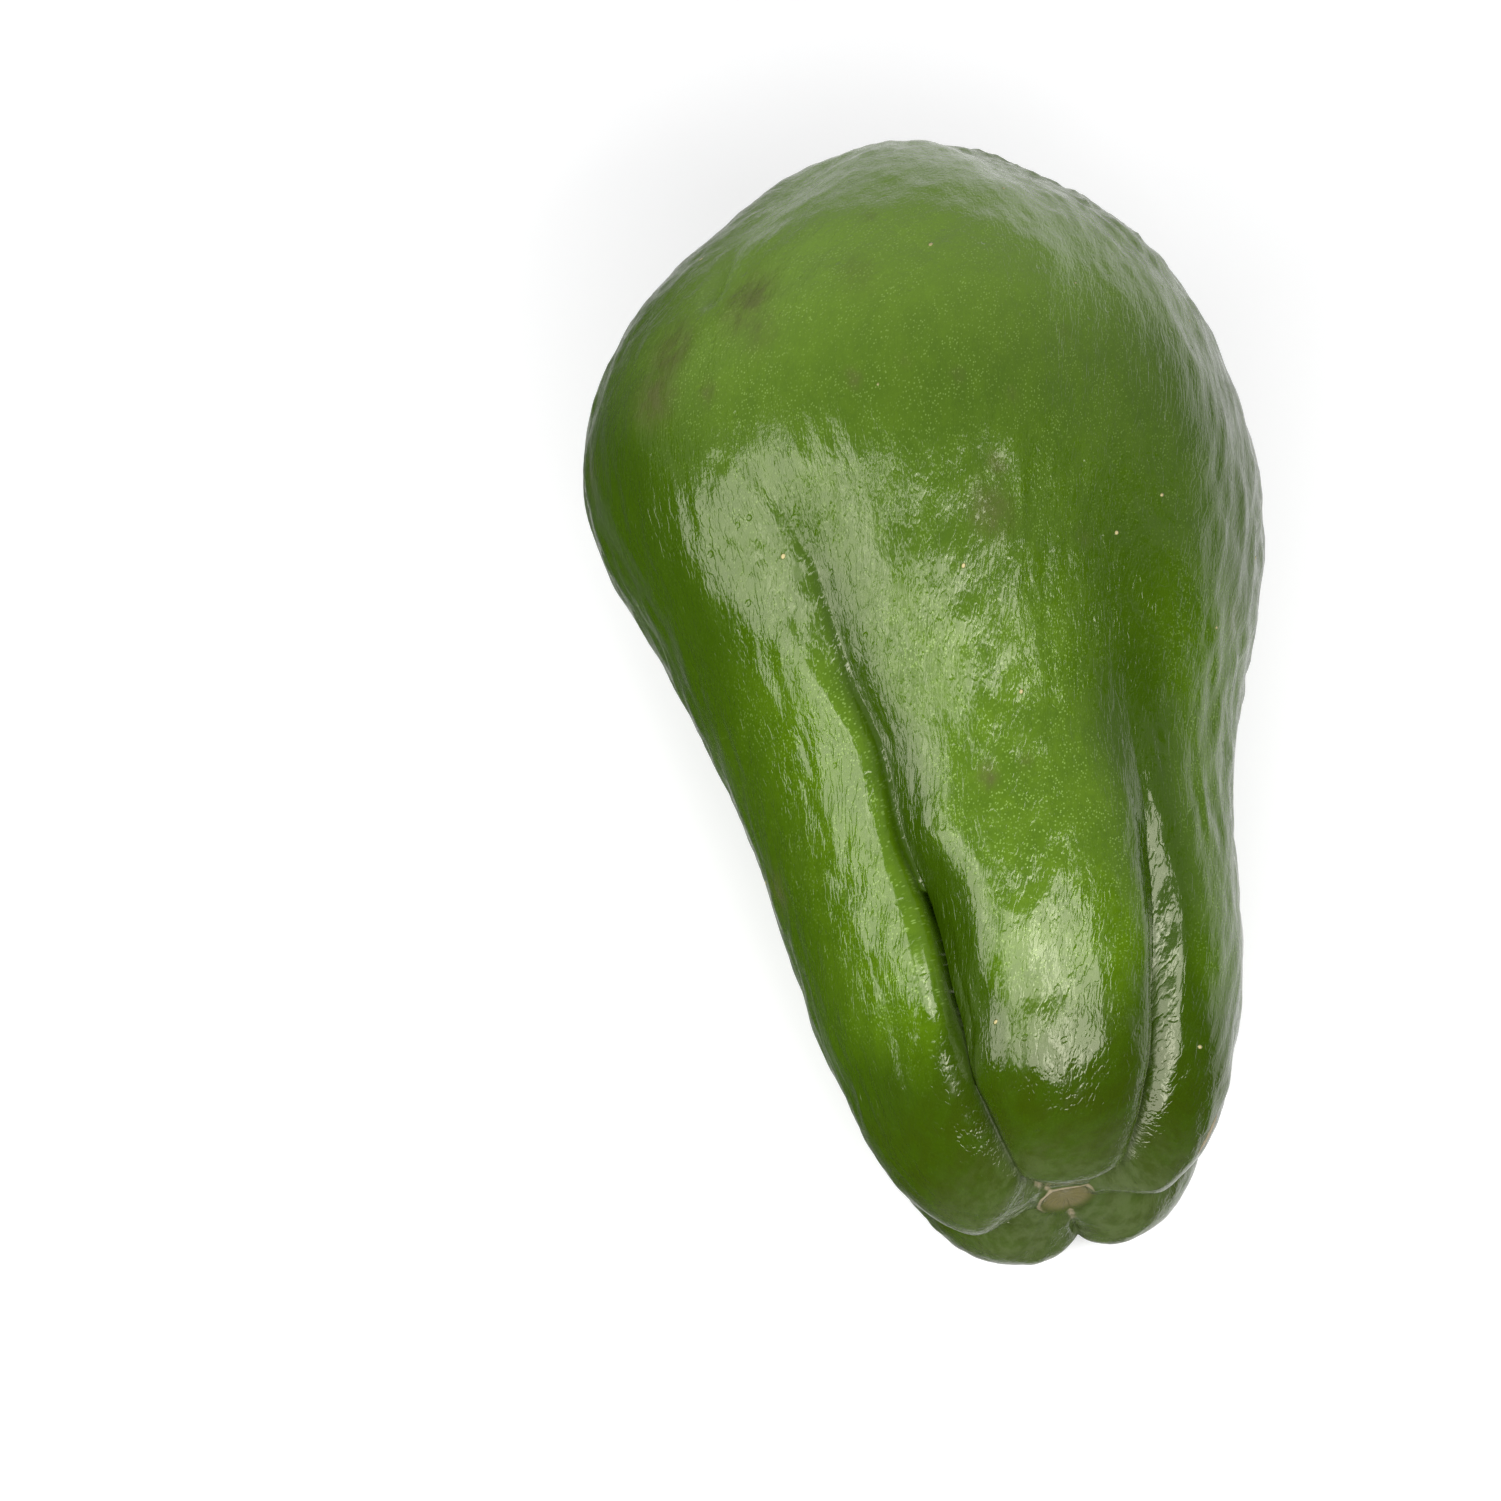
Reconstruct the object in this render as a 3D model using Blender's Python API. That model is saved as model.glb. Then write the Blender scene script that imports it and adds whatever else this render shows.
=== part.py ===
"""A chayote squash, lying down.

The fruit grew as one piece, so it is one solid. It is a pear shape with five lobes: a turned
profile, cut by five furrows that run from the stem scar to the broad end. The stem end points
along -Y and the broad end along +Y. The fruit rests on its belly and on the two lower lobes of
its stem end, with the origin under the middle of its box.
"""

import math

import bmesh
import bpy
from mathutils import Matrix, Vector
from mathutils.geometry import interpolate_bezier

MM = 0.001

# The profile, from the middle of the stem scar to the middle of the broad end. Each point is
# its distance along the fruit's axis from the scar, and its distance out from the axis.
PROFILE = [
    (0.6 * MM, 0.0 * MM),
    (0.2 * MM, 3.3 * MM),
    (-1.5 * MM, 7.2 * MM),
    (-2.9 * MM, 12.0 * MM),
    (-0.8 * MM, 16.4 * MM),
    (6.6 * MM, 22.4 * MM),
    (18.4 * MM, 26.1 * MM),
    (36.7 * MM, 29.2 * MM),
    (57.0 * MM, 33.6 * MM),
    (77.5 * MM, 40.1 * MM),
    (95.4 * MM, 44.3 * MM),
    (109.6 * MM, 43.1 * MM),
    (123.7 * MM, 36.6 * MM),
    (136.3 * MM, 24.4 * MM),
    (143.2 * MM, 14.2 * MM),
    (145.2 * MM, 6.8 * MM),
    (144.2 * MM, 0.0 * MM),
]

# Every list of keys below runs along the skin, from 0 at the scar's middle to this distance
# at the broad end's middle. Between two keys a value eases from one to the next.
SCAR = 0.0 * MM
RIM = 10.0 * MM
SHOULDER = 20.0 * MM
NECK = 45.0 * MM
WAIST = 61.0 * MM
BELLY = 100.0 * MM
HIP = 130.0 * MM
CROWN = 150.0 * MM
FAR_END = 182.0 * MM

# A furrow is a valley between two lobes: narrow at the stem, wide and soft on the belly.
FURROW_DEPTH = [
    (SCAR, 0.0),
    (3.4 * MM, 0.3 * MM),
    (RIM, 3.4 * MM),
    (SHOULDER, 5.0 * MM),
    (30.0 * MM, 4.2 * MM),
    (NECK, 3.0 * MM),
    (70.0 * MM, 2.2 * MM),
    (BELLY, 1.4 * MM),
    (CROWN, 1.8 * MM),
    (174.0 * MM, 1.4 * MM),
    (FAR_END, 0.0),
]
FURROW_HALF_WIDTH = [(SCAR, 34.0), (30.0 * MM, 34.0), (70.0 * MM, 32.0), (FAR_END, 30.0)]
FURROW_SOFTNESS = [
    (SCAR, 0.60),
    (25.0 * MM, 0.60),
    (NECK, 0.65),
    (WAIST, 1.0),
    (80.0 * MM, 1.8),
    (FAR_END, 2.0),
]

# In the valley lies a crease, whose two walls are steep at its floor and level out at their tops.
# On the neck one side of the upper left furrow is much steeper than the other.
CREASE_DEPTH = [
    (12.0 * MM, 0.0),
    (28.0 * MM, 1.6 * MM),
    (NECK, 2.1 * MM),
    (WAIST, 2.0 * MM),
    (84.0 * MM, 1.6 * MM),
    (96.0 * MM, 1.1 * MM),
    (124.0 * MM, 0.0),
]
CREASE_WIDTH = [(SCAR, 1.0), (50.0 * MM, 1.0), (88.0 * MM, 0.6), (FAR_END, 0.6)]
CREASE_FLOOR = 0.03
ONE_SIDED = [(SCAR, 0.0), (24.0 * MM, 0.0), (42.0 * MM, 1.0), (80.0 * MM, 1.0), (115.0 * MM, 0.0)]

# On the belly the creases of the other furrows fade. The one-sided furrow has a flat trough
# beside its steep wall on the neck, which tilts down towards the wall.
CREASE_FADE = [(SCAR, 0.0), (34.0 * MM, 0.0), (56.0 * MM, 0.7), (90.0 * MM, 1.0), (FAR_END, 1.0)]
TROUGH_WIDTH = [
    (SCAR, 0.0),
    (28.0 * MM, 0.0),
    (38.0 * MM, 5.0),
    (54.0 * MM, 4.5),
    (66.0 * MM, 0.0),
    (FAR_END, 0.0),
]
TROUGH_TILT = 0.14 * MM

# A furrow doesn't run quite straight. These are degrees.
WANDER = [
    (SCAR, 0.0),
    (30.0 * MM, 0.0),
    (40.0 * MM, -1.6),
    (54.0 * MM, -3.0),
    (66.0 * MM, -1.8),
    (76.0 * MM, -2.8),
    (86.0 * MM, -0.4),
    (98.0 * MM, -0.6),
    (120.0 * MM, 0.0),
    (FAR_END, 0.0),
]

# Each furrow: its angle at the stem, how far it sways on the belly and on the crown, in degrees
# anticlockwise as seen from the stem end with 90 on top, and its depth against FURROW_DEPTH.
# Then how many degrees wide its crease's two walls are, towards the lower angles and towards
# the higher ones, how wide the valley's higher side is against its lower side where it is
# one-sided, and its share of WANDER.
FURROWS = [
    (124.5, 0.5, 10.0, 0.85, 19.0, 2.2, 0.12, 1.0),
    (201.0, 1.0, 2.0, 1.00, 6.0, 9.0, 1.0, 0.4),
    (280.0, -8.0, -6.0, 0.90, 8.0, 7.0, 1.0, -0.3),
    (351.0, 0.0, -2.0, 1.00, 9.0, 5.0, 1.0, 0.5),
    (411.0, 12.5, 3.0, 1.00, 8.0, 9.5, 1.0, -0.5),
]

# Each lobe swells a little on the neck before it drops to the stem, where the furrows' cut is
# shallow, but not underneath, where the fruit lies. The top lobe is a little flatter there.
LOBE_TOP_CUT = 0.8 * MM
LOBE_SIDE_CUT = 3.0 * MM
NECK_SWELL = 0.8 * MM
UNDERSIDE_FADE = 1.6
SWELL_MIDDLE = 51.5 * MM
SWELL_REACH = 12.0 * MM
FLAT_TOP = 0.35 * MM
FLAT_MIDDLE = 42.0 * MM
FLAT_ANGLE = 85.0
FLAT_LENGTH = 13.0 * MM
FLAT_WIDTH = 8.0 * MM

# Fuller and flatter places: how much higher, how far along the skin, at which angle, how wide.
FULL_PLACES = [
    (1.0 * MM, 105.0 * MM, 152.0, 12.0 * MM),
    (0.8 * MM, 64.0 * MM, 64.0, 14.0 * MM),
    (-0.8 * MM, 100.0 * MM, 64.0, 14.0 * MM),
]

# A low ridge runs along the upper left lobe, beside its furrow's steep wall.
RIDGE = [(SCAR, 0.0), (22.0 * MM, 0.0), (34.0 * MM, 0.6 * MM), (44.0 * MM, 0.6 * MM), (58.0 * MM, 0.0)]
RIDGE_BESIDE = 2.0 * MM
RIDGE_WIDTH = 3.5 * MM

# The centre line bends a little to each side, and the stem end's face leans back at the top.
CENTRE_LINE = [
    (SCAR, -0.6 * MM),
    (WAIST, 0.0 * MM),
    (BELLY, 1.8 * MM),
    (HIP, -0.6 * MM),
    (FAR_END, 3.6 * MM),
]
FACE_LEAN = [(SCAR, 0.21), (25.0 * MM, 0.21), (70.0 * MM, 0.0), (FAR_END, 0.0)]
BELLY_SKEW = [(SCAR, 0.0), (NECK, 0.0), (110.0 * MM, -0.037), (FAR_END, -0.037)]

# How it lies: nose down until the belly and the stem lobes both touch, each pressed a little flat.
PITCH = math.radians(12.75)
PRESSED_FLAT = 0.60 * MM

RINGS = 56
STEPS_PER_LOBE = 18
FURROW_CROWDING = 0.75
STEM_CROWDING = 0.5

SKIN_GREEN = (0.090, 0.185, 0.018, 1.0)


def eased(keys, distance):
    """The value at this distance along the skin, easing from each key to the next."""
    for (start, low), (end, high) in zip(keys, keys[1:]):
        if distance <= end:
            part = max(0.0, (distance - start) / (end - start))
            return low + (high - low) * part * part * (3.0 - 2.0 * part)
    return keys[-1][1]


def smooth_profile():
    """The profile as close points on one smooth curve, which meets the axis squarely."""
    points = [Vector(point) for point in PROFILE]
    mirrored = [Vector((p.x, -p.y)) for p in (points[1], points[-2])]
    whole = [mirrored[0]] + points + [mirrored[1]]
    spans = [(b - a).length for a, b in zip(whole, whole[1:])]
    slopes = []
    for i in range(1, len(whole) - 1):
        before = (whole[i] - whole[i - 1]) / spans[i - 1]
        after = (whole[i + 1] - whole[i]) / spans[i]
        slopes.append((before * spans[i] + after * spans[i - 1]) / (spans[i] + spans[i - 1]))
    curve = []
    for i in range(len(points) - 1):
        reach = spans[i + 1] / 3.0
        first, last = points[i], points[i + 1]
        handles = (first + slopes[i] * reach, last - slopes[i + 1] * reach)
        curve += interpolate_bezier(first, handles[0], handles[1], last, 40)[:-1]
    return curve + [points[-1]]


def along_profile(curve, rings):
    """For each ring: its distance along the skin, its point, and the profile's outward normal."""
    lengths = [0.0]
    for a, b in zip(curve, curve[1:]):
        lengths.append(lengths[-1] + (b - a).length)
    found = []
    span = 0
    for ring in range(rings + 1):
        share = ring / rings
        share = share * (STEM_CROWDING + (1.0 - STEM_CROWDING) * share)
        distance = share * lengths[-1]
        while span < len(curve) - 2 and lengths[span + 1] < distance:
            span += 1
        step = curve[span + 1] - curve[span]
        point = curve[span] + step * ((distance - lengths[span]) / step.length)
        normal = Vector((-step.y, step.x)).normalized()
        found.append((distance, point, normal))
    return found


def furrow_angle(furrow, distance):
    """Where the furrow runs at this distance along the skin, in degrees."""
    angle, belly_sway, crown_sway = furrow[:3]
    sway = [(SCAR, 0.0), (NECK, 0.0), (BELLY, belly_sway), (CROWN, crown_sway), (FAR_END, 0.0)]
    return angle + eased(sway, distance) + furrow[-1] * eased(WANDER, distance)


def lobe_angles(distance):
    """The angles of one ring's points, which follow the furrows and crowd together beside them."""
    starts = [furrow_angle(furrow, distance) for furrow in FURROWS]
    angles = []
    for start, end in zip(starts, starts[1:] + [starts[0] + 360.0]):
        for step in range(STEPS_PER_LOBE):
            share = step / STEPS_PER_LOBE
            share -= FURROW_CROWDING * math.sin(2.0 * math.pi * share) / (2.0 * math.pi)
            angles.append(start + (end - start) * share)
    return angles


def away_from(angle, other):
    """The signed difference of two angles in degrees, from -180 to 180."""
    return (angle - other + 180.0) % 360.0 - 180.0


def furrow_cut(distance, angle):
    """How far the furrows lower the skin here, along its normal."""
    depth = eased(FURROW_DEPTH, distance)
    softness = eased(FURROW_SOFTNESS, distance)
    crease_depth = eased(CREASE_DEPTH, distance)
    crease_width = eased(CREASE_WIDTH, distance)
    one_sided = eased(ONE_SIDED, distance)
    trough = eased(TROUGH_WIDTH, distance)
    cut = 0.0
    for furrow in FURROWS:
        share, low_wall, high_wall, high_side = furrow[3:7]
        away = away_from(angle, furrow_angle(furrow, distance))
        half_width = eased(FURROW_HALF_WIDTH, distance)
        wall = low_wall * crease_width
        crispness = 1.0
        if high_side == 1.0:
            crispness -= eased(CREASE_FADE, distance)
        elif away < 0.0:
            cut += TROUGH_TILT * max(0.0, trough + away)
            away = min(0.0, away + trough)
        if away > 0.0:
            half_width *= 1.0 - (1.0 - high_side) * one_sided
            wall = high_wall * crease_width
            if high_side < 1.0:
                wall *= 3.0 - 2.0 * one_sided
        if abs(away) < half_width:
            rise = math.sin(math.radians(90.0 * abs(away) / half_width))
            rise = min(1.0, math.hypot(rise, CREASE_FLOOR))
            cut += depth * share * (1.0 - rise**softness)
        climb = min(1.0, abs(away) / wall)
        cut += crease_depth * crispness * share * (1.0 - 1.5 * climb + 0.5 * climb**3)
    return cut


def beside(angle, other, out):
    """How far around the skin two angles lie apart, this far out from the axis."""
    return math.radians(away_from(angle, other)) * out


def swell(distance, angle, out, cut):
    """How far the lobes' own fullness raises the skin here, along its normal."""
    lobe_top = min(1.0, max(0.0, (LOBE_SIDE_CUT - cut) / (LOBE_SIDE_CUT - LOBE_TOP_CUT)))
    sides = min(1.0, max(0.0, 1.0 + UNDERSIDE_FADE * math.sin(math.radians(angle))))
    near_neck = math.exp(-(((distance - SWELL_MIDDLE) / SWELL_REACH) ** 2))
    raised = NECK_SWELL * lobe_top * sides * near_neck
    beside_top = beside(angle, FLAT_ANGLE, out) / FLAT_WIDTH
    raised -= FLAT_TOP * math.exp(-(((distance - FLAT_MIDDLE) / FLAT_LENGTH) ** 2) - beside_top**2)
    for height, where, towards, reach in FULL_PLACES:
        off = math.hypot(beside(angle, towards, out), distance - where) / reach
        raised += height * math.exp(-(off**2))
    crest = beside(angle, furrow_angle(FURROWS[0], distance), out) - RIDGE_BESIDE
    return raised + eased(RIDGE, distance) * math.exp(-((crest / RIDGE_WIDTH) ** 2))


def skin_point(distance, point, normal, angle):
    """One point of the skin on the upright fruit: X across, Y along the axis, Z up."""
    cut = furrow_cut(distance, angle)
    lowered = cut - swell(distance, angle, point.y, cut)
    out = point.y - lowered * normal.y
    along = point.x - lowered * normal.x
    across = out * math.cos(math.radians(angle))
    up = out * math.sin(math.radians(angle))
    along += eased(FACE_LEAN, distance) * up + eased(BELLY_SKEW, distance) * across
    return Vector((across + eased(CENTRE_LINE, distance), along, up))


def laid_down(points):
    """The points nose down on the surface, pressed flat where they touch it, centred on the origin."""
    turned = [Matrix.Rotation(PITCH, 3, "X") @ point for point in points]
    floor = min(p.z for p in turned) + PRESSED_FLAT
    middle_x = (min(p.x for p in turned) + max(p.x for p in turned)) / 2.0
    middle_y = (min(p.y for p in turned) + max(p.y for p in turned)) / 2.0
    return [Vector((p.x - middle_x, p.y - middle_y, max(0.0, p.z - floor))) for p in turned]


def fruit_mesh():
    """One closed skin: a point at each end, and rings of quads between them."""
    rings = along_profile(smooth_profile(), RINGS)
    around = STEPS_PER_LOBE * len(FURROWS)
    points = [skin_point(*rings[0], 90.0)]
    for distance, point, normal in rings[1:-1]:
        points += [skin_point(distance, point, normal, angle) for angle in lobe_angles(distance)]
    points.append(skin_point(*rings[-1], 90.0))

    shape = bmesh.new()
    corners = [shape.verts.new(point) for point in laid_down(points)]
    stem, far_end = corners[0], corners[-1]
    loops = [corners[1 + i * around : 1 + (i + 1) * around] for i in range(RINGS - 1)]
    for i in range(around):
        beside = (i + 1) % around
        shape.faces.new((stem, loops[0][beside], loops[0][i]))
        shape.faces.new((far_end, loops[-1][i], loops[-1][beside]))
        for near, far in zip(loops, loops[1:]):
            shape.faces.new((near[i], near[beside], far[beside], far[i]))
    bmesh.ops.recalc_face_normals(shape, faces=shape.faces)
    mesh = bpy.data.meshes.new("chayote")
    shape.to_mesh(mesh)
    shape.free()
    mesh.shade_smooth()
    return mesh


def green_skin():
    """Waxy green skin: half glossy, not metal."""
    material = bpy.data.materials.new("green_skin")
    material.use_nodes = True
    shader = material.node_tree.nodes["Principled BSDF"]
    shader.inputs["Base Color"].default_value = SKIN_GREEN
    shader.inputs["Roughness"].default_value = 0.35
    shader.inputs["Metallic"].default_value = 0.0
    return material


def clear_scene():
    for thing in list(bpy.data.objects):
        bpy.data.objects.remove(thing, do_unlink=True)


clear_scene()
chayote = bpy.data.objects.new("chayote", fruit_mesh())
chayote.data.materials.append(green_skin())
bpy.context.scene.collection.objects.link(chayote)
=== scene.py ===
"""The looks of a chayote squash that lies on a pale table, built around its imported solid."""

import math

import bpy
import numpy as np
from mathutils import Matrix, Vector, noise


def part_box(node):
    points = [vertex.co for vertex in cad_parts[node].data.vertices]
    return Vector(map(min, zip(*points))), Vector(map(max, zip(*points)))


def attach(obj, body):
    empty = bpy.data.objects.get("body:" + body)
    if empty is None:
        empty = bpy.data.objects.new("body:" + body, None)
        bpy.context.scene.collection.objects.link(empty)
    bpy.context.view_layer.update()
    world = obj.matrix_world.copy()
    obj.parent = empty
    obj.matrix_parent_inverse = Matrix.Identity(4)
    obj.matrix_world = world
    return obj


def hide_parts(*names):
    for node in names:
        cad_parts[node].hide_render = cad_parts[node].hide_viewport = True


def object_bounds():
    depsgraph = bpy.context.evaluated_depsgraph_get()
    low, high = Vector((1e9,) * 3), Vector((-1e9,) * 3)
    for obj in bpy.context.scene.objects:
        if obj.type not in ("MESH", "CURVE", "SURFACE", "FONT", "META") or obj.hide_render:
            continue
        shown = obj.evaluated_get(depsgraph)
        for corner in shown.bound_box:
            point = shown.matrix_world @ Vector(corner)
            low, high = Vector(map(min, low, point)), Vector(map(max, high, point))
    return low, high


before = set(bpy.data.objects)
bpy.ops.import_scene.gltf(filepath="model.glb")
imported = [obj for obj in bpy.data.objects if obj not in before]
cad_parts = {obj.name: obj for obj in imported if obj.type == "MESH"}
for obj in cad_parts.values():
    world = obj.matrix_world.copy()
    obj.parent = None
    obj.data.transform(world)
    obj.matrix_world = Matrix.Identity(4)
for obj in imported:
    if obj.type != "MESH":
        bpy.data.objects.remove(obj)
cad_low, cad_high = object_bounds()


# ---- The squash: its form ----
# One fruit that grew as a single piece, a pear shape with five lobes. Five furrows part the
# lobes: tight creases at the stem end, wide soft valleys on the belly. Nothing is fixed to it.
# It lies on its belly and on one lower lobe of its stem end. Lengths here are millimetres.
MM = 0.001

# From the middle of the stem scar to the middle of the broad end: how far along the fruit's
# axis, and how far out from it.
PROFILE = [
    (0.6, 0.0), (0.2, 3.3), (-1.5, 7.2), (-2.9, 12.0), (-0.8, 16.4), (6.6, 22.4),
    (18.4, 26.1), (36.7, 29.2), (57.0, 33.6), (77.5, 40.1), (95.4, 44.3), (109.6, 43.1),
    (123.7, 36.6), (136.3, 24.4), (143.2, 14.2), (145.2, 6.8), (144.2, 0.0),
]

# Every list of keys runs along the skin, from 0 at the scar's middle to FAR_END.
SCAR, RIM, SHOULDER, NECK, WAIST = 0.0, 10.0, 20.0, 45.0, 61.0
BELLY, HIP, CROWN, FAR_END = 100.0, 130.0, 150.0, 182.0
FURROW_DEPTH = [
    (SCAR, 0.0), (3.4, 0.3), (RIM, 3.4), (SHOULDER, 5.0), (30.0, 4.2), (NECK, 3.0),
    (70.0, 2.2), (BELLY, 1.4), (CROWN, 1.8), (174.0, 1.4), (FAR_END, 0.0),
]
FURROW_HALF_WIDTH = [(SCAR, 34.0), (30.0, 34.0), (70.0, 32.0), (FAR_END, 30.0)]
FURROW_SOFTNESS = [
    (SCAR, 0.60), (25.0, 0.60), (NECK, 0.65), (WAIST, 1.0), (80.0, 1.8), (FAR_END, 2.0),
]
CREASE_DEPTH = [
    (12.0, 0.0), (28.0, 1.6), (NECK, 2.1), (WAIST, 2.0), (84.0, 1.6), (96.0, 1.1), (124.0, 0.0),
]
CREASE_WIDTH = [(SCAR, 1.0), (50.0, 1.0), (88.0, 0.6), (FAR_END, 0.6)]

# The creases of the even-sided furrows fade out on the neck. The one-sided furrow keeps its
# crease, and has a narrow sloping trough there, in degrees wide and in millimetres per degree.
CREASE_FADE = [(SCAR, 0.0), (34.0, 0.0), (56.0, 0.7), (90.0, 1.0)]
TROUGH_WIDTH = [(SCAR, 0.0), (28.0, 0.0), (38.0, 5.0), (54.0, 4.5), (66.0, 0.0)]
TROUGH_TILT = 0.14
CREASE_FLOOR = 0.03
WANDER = [
    (SCAR, 0.0), (30.0, 0.0), (40.0, -1.6), (54.0, -3.0), (66.0, -1.8), (76.0, -2.8),
    (86.0, -0.4), (98.0, -0.6), (120.0, 0.0), (FAR_END, 0.0),
]
ONE_SIDED = [(SCAR, 0.0), (24.0, 0.0), (42.0, 1.0), (80.0, 1.0), (115.0, 0.0)]

# Each furrow's angle at the stem in degrees, with 90 on top, how far it sways on the belly and
# on the crown, its depth against FURROW_DEPTH, how many degrees wide the walls of its crease are
# towards the lower angles and towards the higher ones, how wide the valley's higher side is on
# the neck against its lower side, and how much it wanders.
FURROWS = [
    (124.5, 0.5, 10.0, 0.85, 19.0, 2.2, 0.12, 1.0),
    (201.0, 1.0, 2.0, 1.00, 6.0, 9.0, 1.0, 0.4),
    (280.0, -8.0, -6.0, 0.90, 8.0, 7.0, 1.0, -0.3),
    (351.0, 0.0, -2.0, 1.00, 9.0, 5.0, 1.0, 0.5),
    (411.0, 12.5, 3.0, 1.00, 8.0, 9.5, 1.0, -0.5),
]
CENTRE_LINE = [(SCAR, -0.6), (WAIST, 0.0), (BELLY, 1.8), (HIP, -0.6), (FAR_END, 3.6)]
FACE_LEAN = [(SCAR, 0.21), (25.0, 0.21), (70.0, 0.0), (FAR_END, 0.0)]
BELLY_SKEW = [(SCAR, 0.0), (NECK, 0.0), (110.0, -0.037), (FAR_END, -0.037)]
PITCH = math.radians(12.75)
PRESSED_FLAT = 0.60

LOBE_STEPS = (102, 68, 68, 92, 110)
STEM_RINGS, NECK_RINGS, BODY_RINGS = 30, 28, 160
STEM_ENDS, NECK_STARTS = 12.0, 30.0


def eased(keys, distance):
    """The value at each distance along the skin, easing from one key to the next."""
    where, value = np.array(keys, float).T
    span = np.clip(np.searchsorted(where, distance) - 1, 0, len(keys) - 2)
    part = (distance - where[span]) / (where[span + 1] - where[span])
    part = np.clip(part, 0.0, 1.0)
    return value[span] + (value[span + 1] - value[span]) * part * part * (3.0 - 2.0 * part)


def smooth_profile(steps=60):
    """The profile as close points on one smooth curve, which meets the axis squarely."""
    points = np.array(PROFILE)
    whole = np.vstack([points[1] * (1, -1), points, points[-2] * (1, -1)])
    spans = np.linalg.norm(np.diff(whole, axis=0), axis=1)[:, None]
    steepness = np.diff(whole, axis=0) / spans
    before, after = spans[:-1], spans[1:]
    slopes = (steepness[:-1] * after + steepness[1:] * before) / (before + after)
    t = (np.arange(steps) / steps)[:, None]
    curve = []
    for i in range(len(points) - 1):
        reach = spans[i + 1] / 3.0
        first, last = points[i], points[i + 1]
        near, far = first + slopes[i] * reach, last - slopes[i + 1] * reach
        curve.append(
            first * (1 - t) ** 3 + near * 3 * t * (1 - t) ** 2
            + far * 3 * t * t * (1 - t) + last * t**3
        )
    return np.vstack(curve + [points[-1:]])


def ring_distances(length):
    """How far along the skin each ring lies: close together at the stem scar, wider on the body."""
    stem = np.linspace(0.0, STEM_ENDS, STEM_RINGS, endpoint=False)
    neck = np.linspace(STEM_ENDS, NECK_STARTS, NECK_RINGS, endpoint=False)
    return np.concatenate([stem, neck, np.linspace(NECK_STARTS, length, BODY_RINGS)])


def furrow_angle(furrow, distance):
    angle, belly_sway, crown_sway = furrow[:3]
    sway = [(SCAR, 0.0), (NECK, 0.0), (BELLY, belly_sway), (CROWN, crown_sway), (FAR_END, 0.0)]
    return angle + eased(sway, distance) + furrow[-1] * eased(WANDER, distance)


def away_from(angle, other):
    """The signed difference of two angles in degrees, from -180 to 180."""
    return (angle - other + 180.0) % 360.0 - 180.0


def furrow_cut(distance, angle):
    """How far the furrows lower the skin at each point: a soft valley, and a crisp crease in it."""
    depth = eased(FURROW_DEPTH, distance)
    half_width = eased(FURROW_HALF_WIDTH, distance)
    softness = eased(FURROW_SOFTNESS, distance)
    crease_depth = eased(CREASE_DEPTH, distance)
    crease_width = eased(CREASE_WIDTH, distance)
    one_sided = eased(ONE_SIDED, distance)
    crease_fade = eased(CREASE_FADE, distance)
    trough_width = eased(TROUGH_WIDTH, distance)
    cut = np.zeros_like(angle)
    for furrow in FURROWS:
        share, low_wall, high_wall, high_side = furrow[3:7]
        soft = high_side == 1.0
        away = away_from(angle, furrow_angle(furrow, distance))
        if not soft:
            low_side = away <= 0.0
            trough_share = np.clip(-away / np.maximum(trough_width, 0.01), 0.0, 1.0)
            away = np.where(low_side, np.minimum(away + trough_width, 0.0), away)
            cut += TROUGH_TILT * trough_width * np.where(low_side, 1.0 - trough_share, 0.0)
            high_wall = high_wall * (3.0 - 2.0 * one_sided)
        side_width = half_width * np.where(away < 0.0, 1.0, 1.0 - (1.0 - high_side) * one_sided)
        rise = np.sin(np.radians(90.0 * np.minimum(np.abs(away) / side_width, 1.0)))
        rise = np.minimum(np.hypot(rise, CREASE_FLOOR), 1.0)
        cut += depth * share * (1.0 - rise**softness)
        climb = np.hypot(np.where(away < 0.0, away / low_wall, away / high_wall), 0.05)
        climb = np.minimum(climb / crease_width, 1.0)
        crispness = 1.0 - crease_fade if soft else 1.0
        cut += crease_depth * crispness * share * (1.0 - 1.5 * climb + 0.5 * climb**3)
    return cut


curve = smooth_profile()
lengths = np.concatenate([[0.0], np.cumsum(np.linalg.norm(np.diff(curve, axis=0), axis=1))])
ring_distance = ring_distances(lengths[-1])
ring_along = np.interp(ring_distance, lengths, curve[:, 0])
ring_out = np.interp(ring_distance, lengths, curve[:, 1])
step_along = np.interp(ring_distance, lengths, np.gradient(curve[:, 0], lengths))
step_out = np.interp(ring_distance, lengths, np.gradient(curve[:, 1], lengths))
step_length = np.hypot(step_along, step_out)

AROUND = sum(LOBE_STEPS)
distance = np.repeat(ring_distance[:, None], AROUND, axis=1)
starts = [furrow_angle(furrow, ring_distance)[:, None] for furrow in FURROWS]
ends = starts[1:] + [starts[0] + 360.0]
lobes = [
    start + (end - start) * np.arange(steps) / steps
    for start, end, steps in zip(starts, ends, LOBE_STEPS)
]
angle = np.hstack(lobes)
turn = np.radians(angle)

cut = furrow_cut(distance, angle)
out = ring_out[:, None] - cut * (step_along / step_length)[:, None]
along = ring_along[:, None] + cut * (step_out / step_length)[:, None]
across, up = out * np.cos(turn), out * np.sin(turn)
along = along + eased(FACE_LEAN, distance) * up + eased(BELLY_SKEW, distance) * across
form = np.stack([across + eased(CENTRE_LINE, distance), along, up], axis=-1)

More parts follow.
